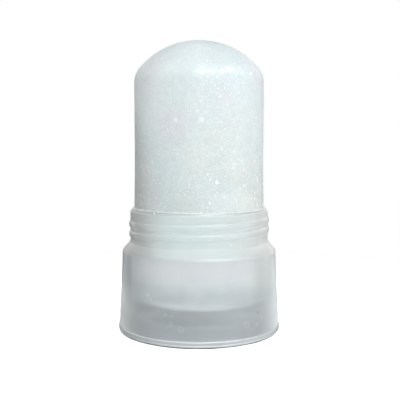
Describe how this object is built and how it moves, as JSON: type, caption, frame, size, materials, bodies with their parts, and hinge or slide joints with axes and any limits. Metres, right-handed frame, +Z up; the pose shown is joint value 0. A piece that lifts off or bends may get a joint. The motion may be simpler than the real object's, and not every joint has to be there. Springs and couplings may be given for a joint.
{
  "type": "deodorant crystal",
  "caption": "Domed stick of alum crystal fixed in a translucent plastic holder with a screw neck, a flared skirt and a closed base.",
  "frame": {"origin": "centre of the flat ring that the stick stands on", "axes": "+Z up along the axis, from the base plug to the crystal's dome; +X to the right seen from the front, where -Y is"},
  "size_m": [0.0456, 0.0456, 0.0807],
  "materials": {
    "alum": "translucent mineral, ground smooth, full of fine white grains",
    "frosted_plastic": "translucent polypropylene, as moulded",
    "plug_plastic": "translucent polypropylene, as moulded"
  },
  "bodies": {
    "root": {"crystal": "alum", "holder": "frosted_plastic", "base_plug": "plug_plastic"}
  },
  "joints": []
}
